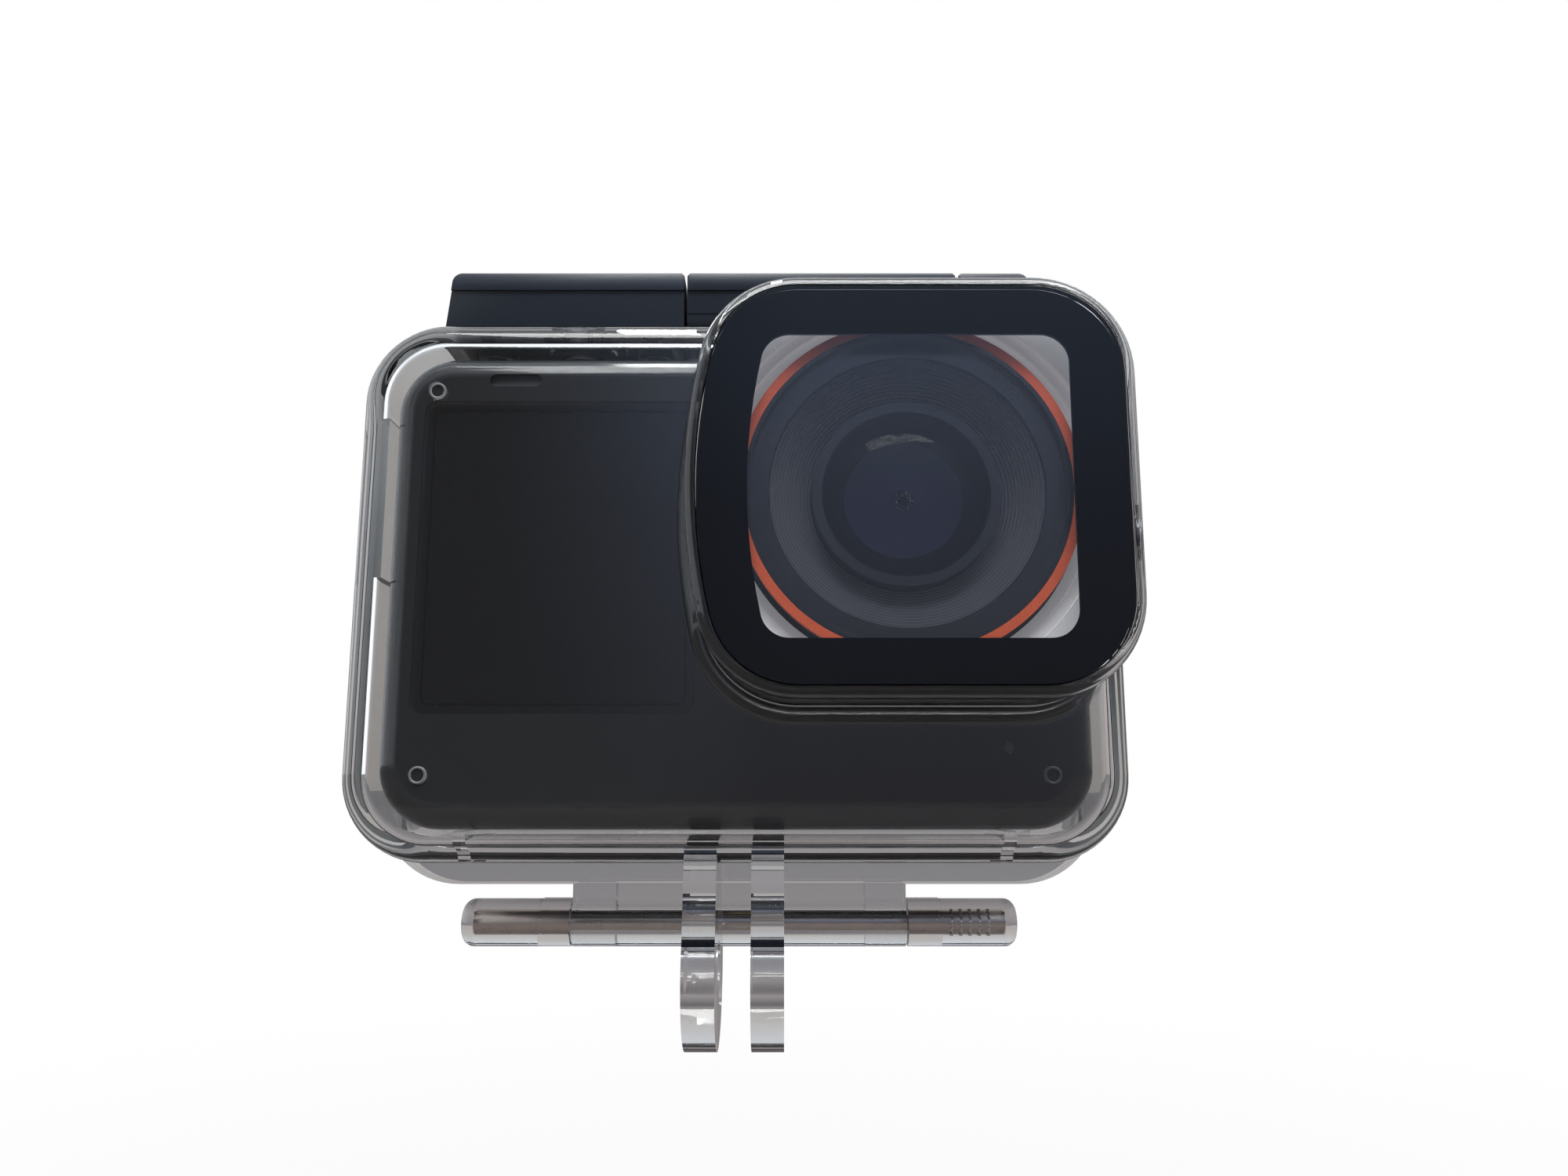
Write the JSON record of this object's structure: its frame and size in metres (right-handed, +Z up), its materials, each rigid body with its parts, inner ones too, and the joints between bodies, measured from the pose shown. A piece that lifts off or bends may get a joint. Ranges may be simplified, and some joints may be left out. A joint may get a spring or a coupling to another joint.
{
  "type": "action camera",
  "caption": "Action camera in a clear dive case with a raised lens port, hinged rear door, top latch and two-prong mount.",
  "frame": {"origin": "middle of the mounting bolt's hole, half-way between the two prongs", "axes": "+X to the right as seen from the front, along the mounting bolt; +Y backwards, away from the viewer; +Z up. The lens looks along -Y."},
  "size_m": [0.0785, 0.038, 0.0778],
  "materials": {
    "clear_case": "clear polycarbonate, polished",
    "clear_window": "optically clear polycarbonate",
    "collar_pale": "frosted clear collar",
    "iris_black": "blackened stop",
    "mask_black": "black print behind the window",
    "seal_rubber": "black rubber",
    "gasket_silicone": "translucent silicone",
    "pin_steel": "drawn stainless pin",
    "button_steel": "turned stainless",
    "spring_steel": "bright spring wire",
    "latch_black": "satin black nylon",
    "body_gloss": "gloss black",
    "body_satin": "satin black",
    "chassis_metal": "stamped aluminium",
    "display_glass": "tinted cover glass",
    "display_panel": "dark display, off",
    "barrel_black": "gloss black ring",
    "orange_anodised": "orange ring",
    "lens_glass": "coated lens glass",
    "baffle_grey": "grooved matt black",
    "sensor_face": "sensor cover glass",
    "board_green": "solder mask",
    "battery_grey": "battery case",
    "contact_brass": "plated brass",
    "socket_steel": "stamped shell",
    "card_black": "moulded black",
    "mesh_grey": "grey acoustic mesh",
    "led_smoke": "smoked lamp lens",
    "key_black": "satin key"
  },
  "bodies": {
    "case_front": {"front_shell": "clear_case", "mount_fork": "clear_case", "port_window": "clear_window", "port_mask": "mask_black", "port_seal": "seal_rubber", "lens_port_ring": "collar_pale", "latch_pin": "pin_steel", "shutter_seal": "seal_rubber", "power_seal": "seal_rubber", "camera_front_cover": "body_gloss", "camera_rear_cover": "body_satin", "camera_chassis": "chassis_metal", "front_display_glass": "display_glass", "front_display": "display_panel", "lens_barrel": "barrel_black", "lens_orange_ring": "orange_anodised", "lens_cover_glass": "lens_glass", "lens_bezel": "barrel_black", "lens_baffle": "baffle_grey", "lens_front_element": "lens_glass", "lens_iris": "iris_black", "lens_rear_elements": "lens_glass", "lens_cell": "barrel_black", "image_sensor": "sensor_face", "sensor_board": "board_green", "main_board": "board_green", "battery": "battery_grey", "battery_contacts": "contact_brass", "battery_door": "body_satin", "port_cover": "body_satin", "usb_port": "socket_steel", "card_slot": "socket_steel", "memory_card": "card_black", "rear_screen_glass": "display_glass", "rear_screen": "display_panel", "speaker": "card_black", "microphone": "mesh_grey", "status_led": "led_smoke", "key_switches": "socket_steel", "tripod_nut": "contact_brass", "camera_screws": "button_steel"},
    "door": {"rear_door": "clear_case", "door_gasket": "gasket_silicone", "hinge_pin": "pin_steel"},
    "latch": {"latch_lever": "latch_black"},
    "lock": {"latch_lock": "latch_black"},
    "shutter_button": {"shutter_pad": "latch_black", "shutter_plunger": "button_steel", "shutter_clip": "spring_steel", "shutter_spring": "spring_steel"},
    "power_button": {"power_cap": "latch_black", "power_plunger": "button_steel", "power_clip": "spring_steel", "power_spring": "spring_steel"},
    "shutter_key": {"camera_shutter_key": "key_black"},
    "power_key": {"camera_power_key": "key_black"}
  },
  "joints": [
    {"name": "door_hinge", "type": "hinge", "parent": "case_front", "child": "door", "pos_m": [0, 0.0098, 0.0031], "axis": [-1, 0, 0], "range_deg": [0, 120]},
    {"name": "latch_hinge", "type": "hinge", "parent": "case_front", "child": "latch", "pos_m": [0, 0.0034, 0.0659], "axis": [1, 0, 0], "range_deg": [0, 80]},
    {"name": "lock_slide", "type": "slide", "parent": "case_front", "child": "lock", "axis": [1, 0, 0], "range_m": [0, 0.002]},
    {"name": "shutter_press", "type": "slide", "parent": "case_front", "child": "shutter_button", "axis": [0, 0, -1], "range_m": [0, 0.0006], "stiffness_N_per_m": 200, "springref_m": -0.002, "deforming": ["shutter_spring"]},
    {"name": "power_press", "type": "slide", "parent": "case_front", "child": "power_button", "axis": [-1, 0, 0], "range_m": [0, 0.0006], "stiffness_N_per_m": 200, "springref_m": -0.002, "deforming": ["power_spring"]},
    {"name": "shutter_key_press", "type": "slide", "parent": "case_front", "child": "shutter_key", "axis": [0, 0, -1], "range_m": [0, 0.0006]},
    {"name": "power_key_press", "type": "slide", "parent": "case_front", "child": "power_key", "axis": [-1, 0, 0], "range_m": [0, 0.0006]}
  ],
  "couplings": [
    {"joint": "shutter_key_press", "follows": "shutter_press", "ratio": 1},
    {"joint": "power_key_press", "follows": "power_press", "ratio": 1}
  ]
}
